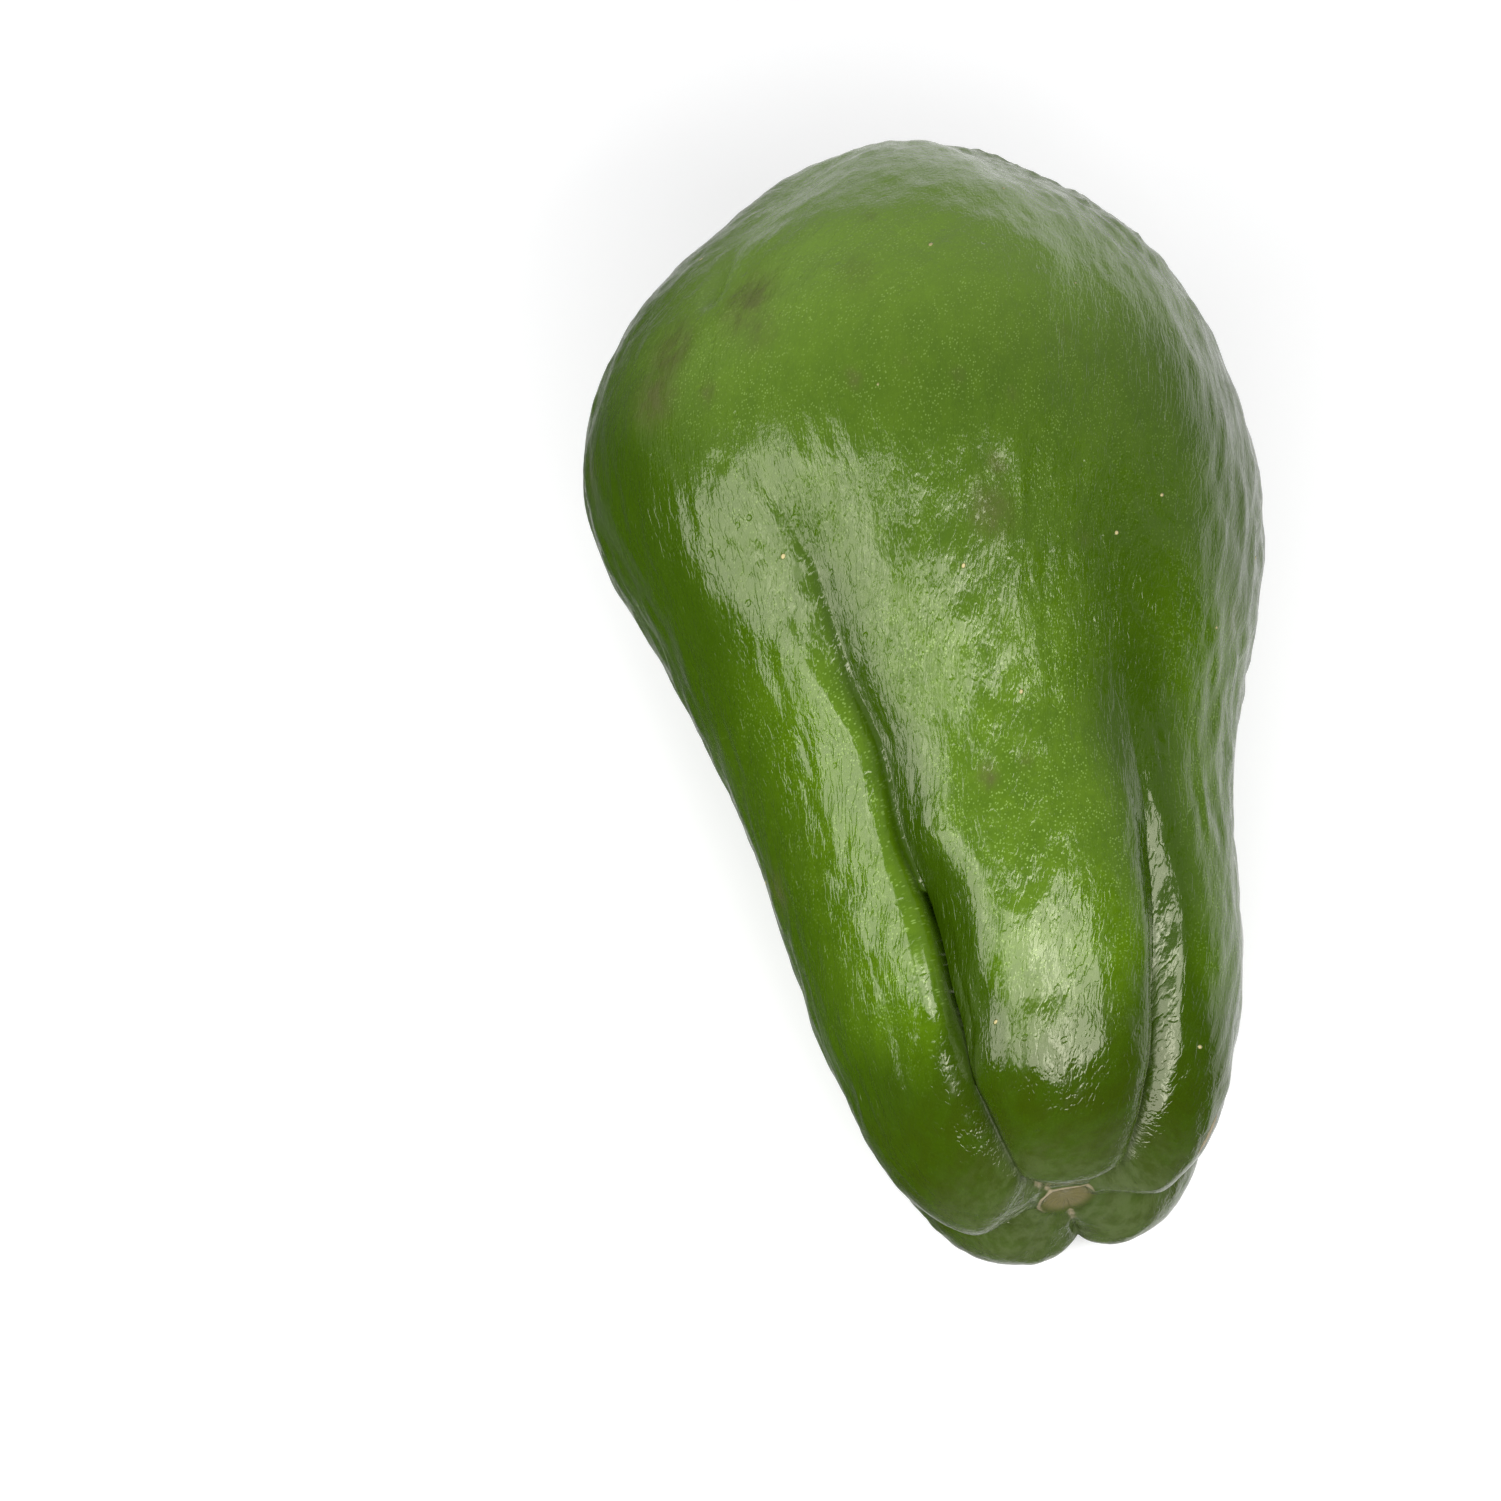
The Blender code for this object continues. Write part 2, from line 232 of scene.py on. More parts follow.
# The skin laid out as it grew: the same pear with straight lobes, so that what is drawn in
# these places follows the furrows, wound a little around the fruit on its upper left.
lobe_turn = turn[0]
twist = 0.0045 * (1.0 + np.cos(lobe_turn - math.radians(120.0)))
grown_turn = lobe_turn + twist * (distance - WAIST)
grown = np.stack(
    [ring_out[:, None] * np.cos(grown_turn), ring_out[:, None] * np.sin(grown_turn), distance],
    axis=-1,
)


# ---- The squash: its skin's relief ----
# The skin grew with the fruit and isn't smooth. The lobes swell towards the stem, and over them
# run low lumps, lengthwise wrinkles, dimples, ringed pits and, at the stem, a corky scar.
SEED_STEP = 17.3
NOISE_GAIN = 1.6


def lumps(size, seed, sway=0.0):
    """Smooth noise from about -1 to 1 over the skin, with lumps this wide, across and along."""
    wide, long = size
    places = grown.reshape(-1, 3)
    if sway:
        places = places + sway * drift
    places = places / (wide, wide, long) + seed * SEED_STEP
    heights = [noise.noise(place) for place in places.tolist()]
    return NOISE_GAIN * np.array(heights).reshape(distance.shape)


def between(value, low, high):
    """0 below low, 1 above high, and an easy rise between them."""
    part = np.clip((value - low) / (high - low), 0.0, 1.0)
    return part * part * (3.0 - 2.0 * part)


def beside_line(line_angle):
    """How many millimetres each point lies beside a line that runs lengthwise at this angle."""
    return np.radians(away_from(angle, line_angle)) * ring_out[:, None]


def spot(place, radius, stretch=1.0):
    """How far each point is from a place on the skin, as a share of a mark's radius there."""
    where, towards = place
    return np.hypot(beside_line(towards), (distance - where) / stretch) / radius


drift = np.stack([lumps((7.0, 11.0), 31 + i).ravel() for i in range(3)], axis=-1)
flank = between(np.abs(away_from(angle, 88.0)), 40.0, 80.0)
broad_end = between(distance, 118.0, 146.0)
stem_end = 1.0 - between(distance, 14.0, 34.0)

# Each lobe swells a little before it drops to the stem, and the top lobe is flatter there. Each
# has its height or depth, where its middle lies along the skin, and how far it reaches.
SWELL_HEIGHT, SWELL_MIDDLE, SWELL_REACH = 0.8, 51.5, 12.0
FLAT_DEPTH, FLAT_MIDDLE, FLAT_REACH = 0.35, 42.0, 13.0
FLAT_ANGLE, FLAT_HALF_WIDTH = 85.0, 8.0
lobe_top = 1.0 - between(cut, 0.8, 3.0)
sides = np.clip(1.0 + 1.6 * np.sin(turn), 0.0, 1.0)
swell = np.exp(-(((distance - SWELL_MIDDLE) / SWELL_REACH) ** 2))
relief = SWELL_HEIGHT * lobe_top * sides * swell
flat_top = np.exp(-(((distance - FLAT_MIDDLE) / FLAT_REACH) ** 2))
flat_top *= np.exp(-((beside_line(FLAT_ANGLE) / FLAT_HALF_WIDTH) ** 2))
relief -= FLAT_DEPTH * flat_top

# The upper left lobe is fullest on the belly's shoulder. The top lobe's right side is fuller at
# the waist and slacker on the belly. Each place has its height, its distance along the skin and
# its angle, and its radius.
FULL_PLACES = [
    (1.0, (105.0, 152.0), 12.0), (0.8, (64.0, 64.0), 14.0), (-0.8, (100.0, 64.0), 14.0),
]
for height, place, radius in FULL_PLACES:
    relief += height * np.exp(-(spot(place, radius) ** 2))

# A ridge runs beside the upper left furrow.
RIDGE_HEIGHT, RIDGE_BESIDE, RIDGE_HALF_WIDTH = 0.6, 2.0, 3.5
beside_first = beside_line(furrow_angle(FURROWS[0], distance))
ridge = between(distance, 22.0, 34.0) * (1.0 - between(distance, 44.0, 58.0))
ridge = ridge * np.exp(-(((beside_first - RIDGE_BESIDE) / RIDGE_HALF_WIDTH) ** 2))
relief += RIDGE_HEIGHT * ridge

# Low lumps, then wrinkles in three sizes, which are deeper on the flanks and shallower at both
# ends. A wrinkle is a rounded fold between two fine creases. The right flank has long ones too.
relief += 0.26 * lumps((20.0, 26.0), 1) + 0.10 * lumps((8.0, 14.0), 2)
wrinkled = (0.75 + 0.7 * flank) * (1.0 - 0.7 * stem_end) * (1.0 - 0.45 * broad_end)
relief += wrinkled * 0.21 * np.abs(lumps((4.6, 13.0), 3, 1.1))
relief += wrinkled * 0.15 * np.abs(lumps((2.6, 7.0), 4, 0.8))
relief += wrinkled * 0.05 * lumps((1.4, 4.0), 7)
right_flank = between(away_from(84.0, angle), 38.0, 50.0) * between(distance, 45.0, 70.0)
right_flank *= 1.0 - between(away_from(84.0, angle), 130.0, 170.0)
long_wrinkles = 0.34 * np.abs(lumps((3.6, 15.0), 9, 1.0)) + 0.12 * lumps((1.9, 7.0), 10)
relief -= right_flank * long_wrinkles

# The broad end is puckered too, with short lumps and creases.
relief += broad_end * (0.16 * lumps((6.5, 7.5), 5) + 0.16 * np.abs(lumps((3.4, 4.0), 6)))
relief += broad_end * 0.035 * lumps((1.8, 2.0), 8)

# A short sharp fold where the upper left furrow crosses the shoulder.
fold = between(distance, 140.0, 146.0) * (1.0 - between(distance, 148.0, 158.0))
FOLD_DEPTH, FOLD_HALF_WIDTH = 1.2, 2.0
relief -= FOLD_DEPTH * fold * np.exp(-((beside_first / FOLD_HALF_WIDTH) ** 2))

# Shallow dimples, each with its place along the skin and its angle, its radius and its depth.
DIMPLES = [
    ((123.0, 105.0), 1.7, 0.16), ((124.0, 96.0), 1.3, 0.10), ((121.0, 88.0), 1.5, 0.12),
    ((118.0, 80.0), 1.3, 0.12), ((127.0, 66.0), 1.6, 0.10), ((109.0, 86.0), 1.9, 0.16),
    ((99.0, 71.0), 1.6, 0.12), ((70.0, 97.0), 1.8, 0.20), ((71.0, 88.0), 1.4, 0.14),
    ((128.0, 132.0), 2.2, 0.14), ((149.0, 98.0), 1.6, 0.12), ((106.0, 91.0), 1.4, 0.10),
]
for place, radius, depth in DIMPLES:
    relief -= depth * np.exp(-(spot(place, radius, 1.25) ** 2))

# Pits with a raised rim, where a wart dried out.
RINGED_PITS = [
    ((118.0, 133.0), 1.5), ((105.0, 133.0), 1.7), ((107.0, 138.0), 1.4), ((100.0, 127.0), 1.9),
    ((73.0, 51.0), 1.1), ((70.0, 50.0), 0.9), ((66.0, 112.0), 1.6), ((78.0, 120.0), 1.2),
]
for place, radius in RINGED_PITS:
    ring = spot(place, radius, 1.3)
    relief += 0.10 * np.exp(-(((ring - 1.0) / 0.4) ** 2)) - 0.16 * np.exp(-(ring**2) * 2.5)

# Smaller pits and dimples all over, at places drawn by lot.
LOT_SEED = 7
SMALL_DIMPLES = 90
lots = np.random.default_rng(LOT_SEED)
for _ in range(SMALL_DIMPLES):
    place = (lots.uniform(24.0, 170.0), lots.uniform(0.0, 360.0))
    radius, depth = lots.uniform(0.8, 1.7), lots.uniform(0.03, 0.11)
    relief -= depth * np.exp(-(spot(place, radius, lots.uniform(1.0, 2.0)) ** 2))

# The scar: a low corky ring around a sunken middle with fine spokes.
spokes = np.sin(lobe_turn * 23.0)[None, :] * np.sin(lobe_turn * 9.0 + 1.0)[None, :]
rim_top = 0.58 + 0.42 * np.cos(np.radians(away_from(angle, 115.0)))
relief += 0.5 * rim_top * np.exp(-(((distance - 3.8) / 0.75) ** 2))
relief += 0.06 * spokes * between(distance, 0.6, 1.6) * (1.0 - between(distance, 2.4, 3.4))

# The relief stands on the form along the form's own normals.
beside_step = np.roll(form, -1, axis=1) - np.roll(form, 1, axis=1)
outward = np.cross(np.gradient(form, axis=0), beside_step)
outward /= np.maximum(np.linalg.norm(outward, axis=-1, keepdims=True), 1e-9)
outward *= np.sign((outward * (form - form.mean(axis=(0, 1)))).sum())
outward[0], outward[-1] = (0.0, -1.0, 0.0), (0.0, 1.0, 0.0)
relief[0], relief[-1] = relief[1].mean(), relief[-2].mean()
skin = form + relief[..., None] * outward

# Laid down: nose down until it touches, pressed a little flat there, and fitted to the solid.
turned = skin @ np.array(Matrix.Rotation(PITCH, 3, "X")).T
turned[..., 2] = np.maximum(turned[..., 2] - turned[..., 2].min() - PRESSED_FLAT, 0.0)
low, high = turned.min(axis=(0, 1)), turned.max(axis=(0, 1))
solid_low, solid_high = (np.array(corner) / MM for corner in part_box("chayote"))
fit = ((solid_high - solid_low) / (high - low)).min() * 0.9995
middle = (low + high) / 2.0
laid = (turned - (middle[0], middle[1], 0.0)) * min(fit, 1.0)
laid += ((solid_low + solid_high) / 2.0 * (1, 1, 0) + solid_low * (0, 0, 1))

points = np.concatenate([laid[:1, 0], laid[1:-1].reshape(-1, 3), laid[-1:, 0]]) * MM
rings = len(ring_distance) - 2
loops = 1 + np.arange(rings * AROUND).reshape(rings, AROUND)
beside = np.roll(loops, -1, axis=1)
last = len(points) - 1
faces = np.stack([loops[:-1], loops[1:], beside[1:], beside[:-1]], axis=-1).reshape(-1, 4)
faces = faces.tolist()
faces += [(0, a, b) for a, b in zip(loops[0].tolist(), beside[0].tolist())]
faces += [(last, b, a) for a, b in zip(loops[-1].tolist(), beside[-1].tolist())]
mesh = bpy.data.meshes.new("squash")
mesh.from_pydata(points.tolist(), [], faces)
mesh.shade_smooth()


def keep_on_skin(name, kind, values):
    """Stores a value for each point of the skin, for the material to read."""
    rest = values[1:-1].reshape(-1, *values.shape[2:])
    values = np.concatenate([values[:1, 0], rest, values[-1:, 0]]).astype(np.float32)
    field = "vector" if kind == "FLOAT_VECTOR" else "value"
    mesh.attributes.new(name, kind, "POINT").data.foreach_set(field, values.ravel())


keep_on_skin("grown", "FLOAT_VECTOR", grown)


# ---- The squash: its colours ----
# Waxy green skin: a deep green that holds hardly any blue, mottled lighter and darker, full of
# tiny paler specks, with greyish and brownish blotches, dried drops of sap and a corky scar.
# Painted shade darkens the furrows, the low flanks, the creases and the stem end; painted light
# and sheen pale the broad end, and a bloom that is partly painted sheen greys the lobes by the
# scar.
BLOTCHES = [
    ((140.0, 123.0), 5.0, 0.8), ((137.0, 141.0), 4.5, 0.8), ((131.0, 144.0), 4.5, 0.8),
    ((134.0, 120.0), 4.0, 0.5), ((138.0, 101.0), 4.0, 0.4), ((103.0, 89.0), 3.5, 0.7),
]
SMALL_BLOTCHES = 26
blotch = np.zeros_like(distance)
for place, radius, strength in BLOTCHES:
    blotch = np.maximum(blotch, strength * np.exp(-(spot(place, radius, 1.2) ** 2)))
for place, radius, depth in DIMPLES:
    blotch = np.maximum(blotch, 4.0 * depth * np.exp(-(spot(place, radius * 0.9, 1.2) ** 2)))
for _ in range(SMALL_BLOTCHES):
    place = (lots.uniform(30.0, 172.0), lots.uniform(150.0, 390.0))
    radius, strength = lots.uniform(1.5, 5.0), lots.uniform(0.2, 0.7)
    blotch = np.maximum(blotch, strength * np.exp(-(spot(place, radius, 1.3) ** 2)))

# Cork: the scar's ring, the ends of the furrows that run into it, and a scrape on one lobe.
cork = 0.9 * rim_top * np.exp(-(((distance - 3.9) / 0.5) ** 2))
CORK_REACH = (12.0, 7.0, 9.0, 7.0, 8.0)
CORK_SHARE = (0.5, 0.2, 0.55, 0.2, 0.3)
for furrow, reach, strength in zip(FURROWS, CORK_REACH, CORK_SHARE):
    beside_furrow = beside_line(furrow_angle(furrow, distance))
    near_scar = between(distance, 3.2, 4.2) * (1.0 - between(distance, reach * 0.5, reach))
    cork = np.maximum(cork, strength * near_scar * np.exp(-((beside_furrow / 0.9) ** 2)))
SCRAPE = ((22.5, 16.5), 0.9, 4.0)
cork = np.maximum(cork, 0.9 * np.exp(-(spot(*SCRAPE) ** 2)))
scar = 1.0 - between(distance, 2.4, 4.2)
# A grey bloom on the lobes around the scar, partly the skin's own bloom and partly a painted sheen.
bloom_and_sheen = (1.0 - between(distance, 8.0, 24.0)) * between(distance, 3.5, 5.0)
keep_on_skin("blotch", "FLOAT", blotch)
keep_on_skin("cork", "FLOAT", cork)
keep_on_skin("scar", "FLOAT", scar)
keep_on_skin("bloom_and_sheen", "FLOAT", bloom_and_sheen)

# Painted shade: the skin is painted darker green in the furrows, low on the flanks, round the upper
# belly and where the lobes drop to the stem.
left_side = between(away_from(angle, 84.0), 44.0, 80.0)
right_side = between(away_from(angle, 84.0), -82.0, -10.0)
upper_belly = between(distance, 84.0, 100.0) * (1.0 - between(distance, 118.0, 140.0))
painted_shade = between(cut, 0.4, 2.2) * (1.0 - between(distance, 84.0, 120.0))
painted_shade += 0.85 * left_side + 0.85 * (1.0 - right_side) + 0.42 * upper_belly
painted_shade = np.clip(painted_shade + 1.0 - between(distance, 24.0, 44.0), 0.0, 1.0)
keep_on_skin("painted_shade", "FLOAT", painted_shade)

# Painted shade along the floor of each crease, strongest towards the stem; the same mask also makes
# the skin rougher there.
crease = np.zeros_like(distance)
for furrow in FURROWS:
    floor_of_crease = np.exp(-((beside_line(furrow_angle(furrow, distance)) / 0.55) ** 2))
    crease = np.maximum(crease, floor_of_crease * between(distance, 6.0, 14.0))
crease *= 1.0 - between(distance, 84.0, 104.0)
keep_on_skin("crease", "FLOAT", crease)
keep_on_skin("along", "FLOAT", distance)


class Nodes:
    """The nodes of a material or of the room: each method adds one node and returns its output."""

    def __init__(self, owner):
        owner.use_nodes = True
        self.tree = owner.node_tree

    def put(self, socket, value):
        if isinstance(value, bpy.types.NodeSocket):
            self.tree.links.new(value, socket)
        else:
            socket.default_value = value

    def read(self, name, vector=False):
        node = self.tree.nodes.new("ShaderNodeAttribute")
        node.attribute_name = name
        return node.outputs["Vector" if vector else "Fac"]

    def stretched(self, places, by):
        node = self.tree.nodes.new("ShaderNodeVectorMath")
        node.operation = "MULTIPLY"
        self.put(node.inputs[0], places)
        node.inputs[1].default_value = by
        return node.outputs["Vector"]

    def cloud(self, places, size, detail=2.0, roughness=0.5):
        node = self.tree.nodes.new("ShaderNodeTexNoise")
        self.put(node.inputs["Vector"], places)
        node.inputs["Scale"].default_value = 1.0 / size
        node.inputs["Detail"].default_value = detail
        node.inputs["Roughness"].default_value = roughness
        return node.outputs["Fac"]

    def cells(self, places, size):
        node = self.tree.nodes.new("ShaderNodeTexVoronoi")
        self.put(node.inputs["Vector"], places)
        node.inputs["Scale"].default_value = 1.0 / size
        return node.outputs["Distance"]

    def ramp(self, value, low, high, to_low=0.0, to_high=1.0):
        node = self.tree.nodes.new("ShaderNodeMapRange")
        node.interpolation_type = "SMOOTHSTEP"
        self.put(node.inputs["Value"], value)
        node.inputs["From Min"].default_value = low
        node.inputs["From Max"].default_value = high
        node.inputs["To Min"].default_value = to_low
        node.inputs["To Max"].default_value = to_high
        return node.outputs["Result"]

    def maths(self, operation, first, second):
        node = self.tree.nodes.new("ShaderNodeMath")
        node.operation = operation
        self.put(node.inputs[0], first)
        self.put(node.inputs[1], second)
        return node.outputs["Value"]

    def tint(self, share, under, over):
        node = self.tree.nodes.new("ShaderNodeMix")
        node.data_type = "RGBA"
        self.put(node.inputs[0], share)
        self.put(node.inputs[6], under)
        self.put(node.inputs[7], over)
        return node.outputs[2]

    def blend(self, share, under, over):
        node = self.tree.nodes.new("ShaderNodeMix")
        self.put(node.inputs[0], share)
        self.put(node.inputs[2], under)
        self.put(node.inputs[3], over)
        return node.outputs[0]


DEEP_GREEN = (0.057, 0.122, 0.0015, 1.0)
BRIGHT_GREEN = (0.081, 0.160, 0.003, 1.0)
# Painted light and painted sheen for the broad end.
CROWN_LIGHT_AND_SHEEN_GREEN = (0.150, 0.262, 0.030, 1.0)
# Painted shade in the furrows, on the flanks and at the stem end.
FURROW_SHADE_GREEN = (0.028, 0.063, 0.0007, 1.0)
# Painted shade at the stem end.
STEM_SHADE_GREEN = (0.029, 0.049, 0.0007, 1.0)
# Painted shade in the creases.
CREASE_SHADE_GREEN = (0.012, 0.026, 0.0005, 1.0)
WAX_TINT = (1.0, 0.98, 0.78, 1.0)
SPECK_GREEN = (0.240, 0.370, 0.080, 1.0)
BLOTCH_BROWN = (0.080, 0.082, 0.024, 1.0)
SAP_YELLOW = (0.50, 0.43, 0.20, 1.0)
CORK_TAN = (0.32, 0.26, 0.16, 1.0)
SCAR_OLIVE = (0.135, 0.120, 0.048, 1.0)
# Grey bloom, partly painted sheen.
BLOOM_AND_SHEEN_GREY = (0.085, 0.115, 0.038, 1.0)


SPECK_SPACING, SAP_SPACING, PIT_SPACING = 0.46, 9.0, 4.2
WAX_IOR = 1.5
BUMP_UNIT = MM


def green_skin():
    material = bpy.data.materials.new("green_skin")
    finish = Nodes(material)
    shader = finish.tree.nodes["Principled BSDF"]
    places = finish.read("grown", vector=True)
    lengthwise = finish.stretched(places, (1.0, 1.0, 0.25))

    mottling = finish.ramp(finish.cloud(places, 5.0, 4.0, 0.6), 0.35, 0.65)
    fine_mottling = finish.ramp(finish.cloud(places, 1.0, 3.0, 0.6), 0.35, 0.65)
    mottling = finish.blend(0.35, mottling, fine_mottling)
    colour = finish.tint(mottling, DEEP_GREEN, BRIGHT_GREEN)
    along = finish.read("along")
    # Painted light and sheen: the broad end is painted paler and greyer.
    colour = finish.tint(finish.ramp(along, 112.0, 152.0, 0.0, 0.85), colour, CROWN_LIGHT_AND_SHEEN_GREEN)
    grain = finish.cloud(places, 0.7, 3.0, 0.6)
    specks = finish.ramp(finish.cells(places, SPECK_SPACING), 0.14, 0.36, 1.0, 0.0)
    thick = finish.ramp(finish.cloud(places, 4.0, 4.0, 0.6), 0.36, 0.62, 0.15, 0.75)
    colour = finish.tint(finish.maths("MULTIPLY", specks, thick), colour, SPECK_GREEN)
    # Painted shade: darker green in the furrows, on the low flanks and towards the stem.
    colour = finish.tint(finish.maths("MULTIPLY", finish.read("painted_shade"), 0.9), colour, FURROW_SHADE_GREEN)
    patches = finish.ramp(finish.cloud(places, 3.4, 4.0, 0.65), 0.36, 0.62, 0.45, 1.0)
    # Painted shade, in patches, darker and more olive towards the stem.
    stem_shade = finish.maths("MULTIPLY", finish.ramp(along, 16.0, 44.0, 1.0, 0.0), patches)
    colour = finish.tint(stem_shade, colour, STEM_SHADE_GREEN)
    # Painted shade in the floor of each crease.
    crease = finish.read("crease")
    shaded = finish.maths("MULTIPLY", crease, finish.ramp(along, 24.0, 50.0, 0.9, 0.0))
    colour = finish.tint(shaded, colour, CREASE_SHADE_GREEN)

    ragged = finish.maths("MULTIPLY", finish.cloud(places, 2.2, 4.0, 0.65), 1.7)
    blotch = finish.maths("MULTIPLY", finish.read("blotch"), ragged)
    colour = finish.tint(finish.ramp(blotch, 0.05, 0.9, 0.0, 0.75), colour, BLOTCH_BROWN)

    sap = finish.ramp(finish.cells(places, SAP_SPACING), 0.026, 0.044, 1.0, 0.0)
    colour = finish.tint(sap, colour, SAP_YELLOW)
    # The bloom by the scar: partly real bloom, partly painted sheen.
    bloom_and_sheen_patches = finish.ramp(ragged, 0.6, 1.1, 0.30, 0.80)
    bloom_and_sheen = finish.maths("MULTIPLY", finish.read("bloom_and_sheen"), bloom_and_sheen_patches)
    colour = finish.tint(bloom_and_sheen, colour, BLOOM_AND_SHEEN_GREY)
    scar = finish.read("scar")
    colour = finish.tint(scar, colour, SCAR_OLIVE)
    cork = finish.ramp(finish.maths("MULTIPLY", finish.read("cork"), ragged), 0.25, 0.6)
    colour = finish.tint(cork, colour, CORK_TAN)
    finish.put(shader.inputs["Base Color"], colour)

    patchy = finish.ramp(finish.cloud(lengthwise, 3.0, 4.0, 0.6), 0.3, 0.7, 0.09, 0.17)
    dull = finish.maths("MAXIMUM", finish.maths("MAXIMUM", cork, sap), shaded)
    rough = finish.maths("ADD", patchy, finish.maths("MULTIPLY", dull, 0.45))
    finish.put(shader.inputs["Roughness"], rough)
    shader.inputs["IOR"].default_value = WAX_IOR
    shader.inputs["Specular Tint"].default_value = WAX_TINT

    folds = finish.maths("MULTIPLY", finish.cloud(lengthwise, 2.0, 3.0, 0.55), 0.15)
    creased = finish.maths("SUBTRACT", finish.cloud(lengthwise, 0.95, 2.0, 0.5), 0.5)
    crinkles = finish.ramp(finish.maths("ABSOLUTE", creased, 0.0), 0.0, 0.10, 0.0, 0.023)
    pits = finish.ramp(finish.cells(places, PIT_SPACING), 0.06, 0.13, 0.0, 0.05)
    height = finish.maths("ADD", folds, crinkles)
    height = finish.maths("ADD", height, pits)
    grain_height = finish.ramp(along, 90.0, 130.0, 0.012, 0.055)
    height = finish.maths("ADD", height, finish.maths("MULTIPLY", grain, grain_height))
    height = finish.maths("ADD", height, finish.maths("MULTIPLY", sap, 0.15))
    height = finish.maths("ADD", height, finish.maths("MULTIPLY", cork, 0.12))
    bump = finish.tree.nodes.new("ShaderNodeBump")
    bump.inputs["Distance"].default_value = BUMP_UNIT
    finish.put(bump.inputs["Height"], height)
    finish.put(shader.inputs["Normal"], bump.outputs["Normal"])
    return material


mesh.materials.append(green_skin())
squash = bpy.data.objects.new("squash", mesh)
bpy.context.scene.collection.objects.link(squash)
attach(squash, "root")
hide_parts("chayote")


# ---- The table ----
# A wide sheet of smooth white acrylic, laid flat, large enough to end far behind the fruit. It
# is lit a little from below, so that the fruit casts only a faint shadow on it. The skin mirrors
# the room's lower half and not the sheet.
TABLE_HALF_SIDE = 6.0
WHITE_BOARD = (0.93, 0.93, 0.935, 1.0)
LIT_FROM_BELOW = 0.33

board = bpy.data.meshes.new("table")
board_corners = [
    (x * TABLE_HALF_SIDE, y * TABLE_HALF_SIDE, 0.0)
    for x, y in ((-1, -1), (1, -1), (1, 1), (-1, 1))
]
board.from_pydata(board_corners, [], [(0, 1, 2, 3)])
white = bpy.data.materials.new("white_board")
white.use_nodes = True
surface = white.node_tree.nodes["Principled BSDF"]
surface.inputs["Base Color"].default_value = WHITE_BOARD
surface.inputs["Roughness"].default_value = 0.7
surface.inputs["Specular IOR Level"].default_value = 0.2
surface.inputs["Emission Color"].default_value = WHITE_BOARD
surface.inputs["Emission Strength"].default_value = LIT_FROM_BELOW
board.materials.append(white)
table = bpy.data.objects.new("table", board)
table.visible_glossy = False
bpy.context.scene.collection.objects.link(table)


# ---- The studio ----
# A white room whose front and low left are dark, and four soft boxes near the fruit: two on its
# left, and two high up in front. Directions are degrees round from the stem end and degrees up.
middle_of_fruit = (cad_low + cad_high) / 2.0


def direction(azimuth, elevation):
    turned, raised = math.radians(azimuth), math.radians(elevation)
    return Vector(
        (
            math.sin(turned) * math.cos(raised),
            -math.cos(turned) * math.cos(raised),
            math.sin(raised),
        )
    )


def soft_box(name, azimuth, elevation, width, height, radiance, away=1.6):
    """A soft box facing the fruit, whose width and height are the degrees that it fills."""
    light = bpy.data.lights.new(name, "AREA")
    light.shape = "RECTANGLE"
    light.size = 2.0 * away * math.tan(math.radians(width / 2.0))
    light.size_y = 2.0 * away * math.tan(math.radians(height / 2.0))
    light.energy = radiance * math.pi * light.size * light.size_y
    lamp = bpy.data.objects.new(name, light)
    back = direction(azimuth, elevation)
    lamp.location = middle_of_fruit + back * away
    lamp.rotation_euler = back.to_track_quat("Z", "Y").to_euler()
    bpy.context.scene.collection.objects.link(lamp)


soft_box("left_box", -78.0, 22.0, 27.0, 34.0, 4.4, 0.45)
soft_box("left_core", -61.0, 37.0, 24.0, 15.0, 2.7, 0.45)
soft_box("high_left_box", -16.0, 45.5, 40.0, 26.0, 5.2, 0.4)
soft_box("high_right_box", 22.0, 47.0, 34.0, 22.0, 6.2, 0.4)

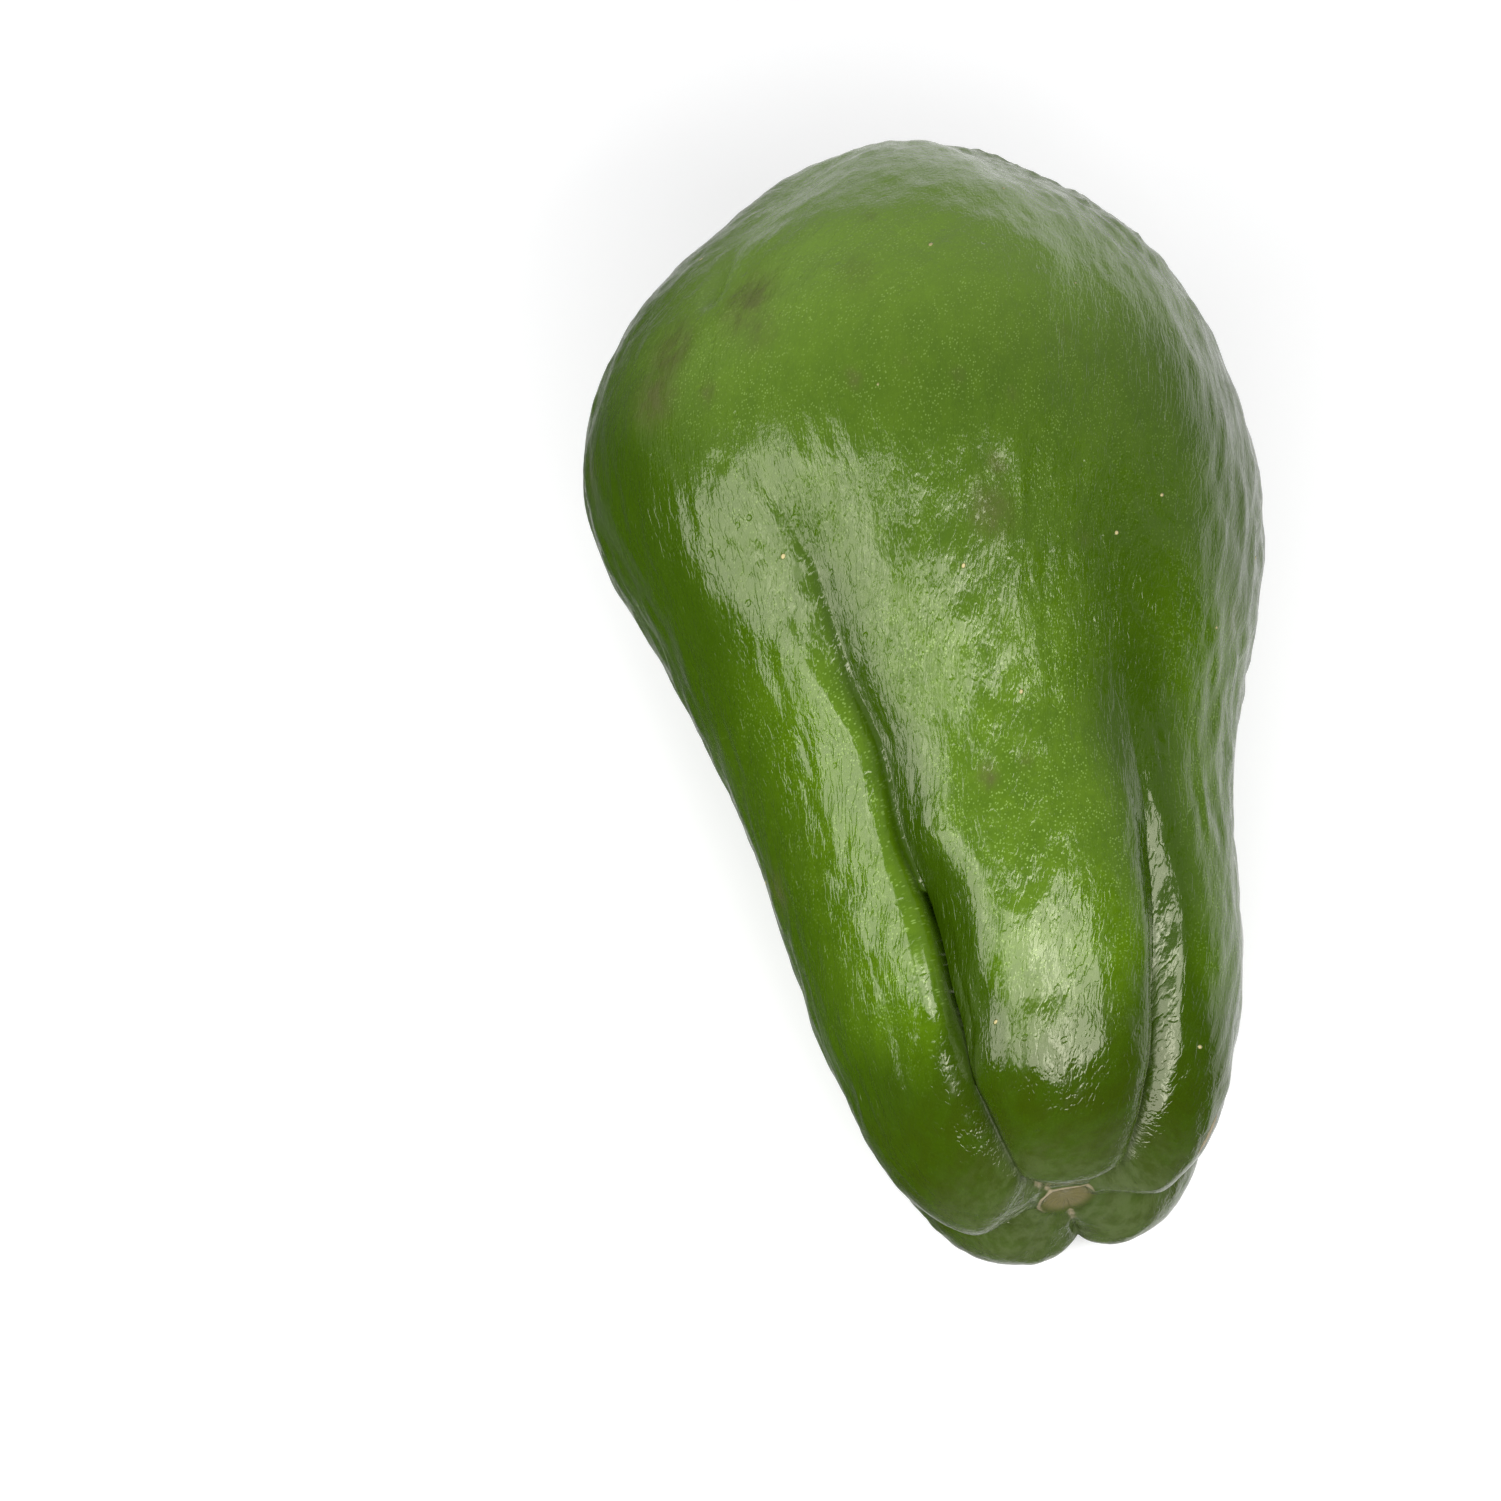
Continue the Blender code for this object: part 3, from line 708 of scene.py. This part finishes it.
ROOM_GLOW, FLOOR_GLOW, LEFT_FLOOR_GLOW, RIGHT_EXTRA = 0.46, 1.0, 0.10, 0.30
FRONT_GLOW, FRONT_FLOOR_GLOW, DARK = 0.05, 0.20, 0.02
room = bpy.data.worlds.new("room")
sky = Nodes(room)
split = sky.tree.nodes.new("ShaderNodeSeparateXYZ")
way = sky.tree.nodes.new("ShaderNodeTexCoord")
sky.put(split.inputs["Vector"], way.outputs["Generated"])
sideways, forwards, upwards = split.outputs
floor_glow = sky.ramp(sideways, -0.4, 0.3, LEFT_FLOOR_GLOW, FLOOR_GLOW)
floor_glow = sky.maths("ADD", floor_glow, sky.ramp(sideways, 0.4, 0.8, 0.0, RIGHT_EXTRA))
glow = sky.blend(sky.ramp(upwards, -0.12, 0.12), floor_glow, ROOM_GLOW)
front_glow = sky.ramp(upwards, -0.35, -0.05, FRONT_FLOOR_GLOW, FRONT_GLOW)
front = sky.ramp(forwards, -0.32, -0.10, 1.0, 0.0)
front = sky.maths("MULTIPLY", front, sky.ramp(upwards, 0.50, 0.64, 1.0, 0.0))
glow = sky.blend(front, glow, front_glow)
left = sky.ramp(sideways, -0.75, -0.50, 1.0, 0.0)
left = sky.maths("MULTIPLY", left, sky.ramp(upwards, 0.05, 0.13, 1.0, 0.0))
left = sky.maths("MULTIPLY", left, sky.ramp(forwards, 0.35, 0.65, 1.0, 0.0))
glow = sky.blend(left, glow, DARK)
ray = sky.tree.nodes.new("ShaderNodeLightPath")
glow = sky.blend(ray.outputs["Is Camera Ray"], glow, 1.0)
background = sky.tree.nodes["Background"]
background.inputs["Color"].default_value = (1.0, 1.0, 1.0, 1.0)
sky.put(background.inputs["Strength"], glow)
bpy.context.scene.world = room
bpy.context.scene.view_settings.view_transform = "Standard"


# ---- The camera ----
# It looks down on the stem end from a little to the left, and frames the fruit right of middle.
CAMERA_AWAY = 0.780
FRAME_WIDTH = 0.1918
SENSOR_WIDTH = 36.0
aim = middle_of_fruit + Vector((-30.3, -13.5, 6.9)) * MM

lens = bpy.data.cameras.new("camera")
lens.sensor_width = SENSOR_WIDTH
lens.lens = SENSOR_WIDTH * CAMERA_AWAY / FRAME_WIDTH
lens.clip_start = 0.05
camera = bpy.data.objects.new("camera", lens)
camera_back = direction(-11.0, 59.25)
camera.location = aim + camera_back * CAMERA_AWAY
camera.rotation_euler = camera_back.to_track_quat("Z", "Y").to_euler()
bpy.context.scene.collection.objects.link(camera)
bpy.context.scene.camera = camera
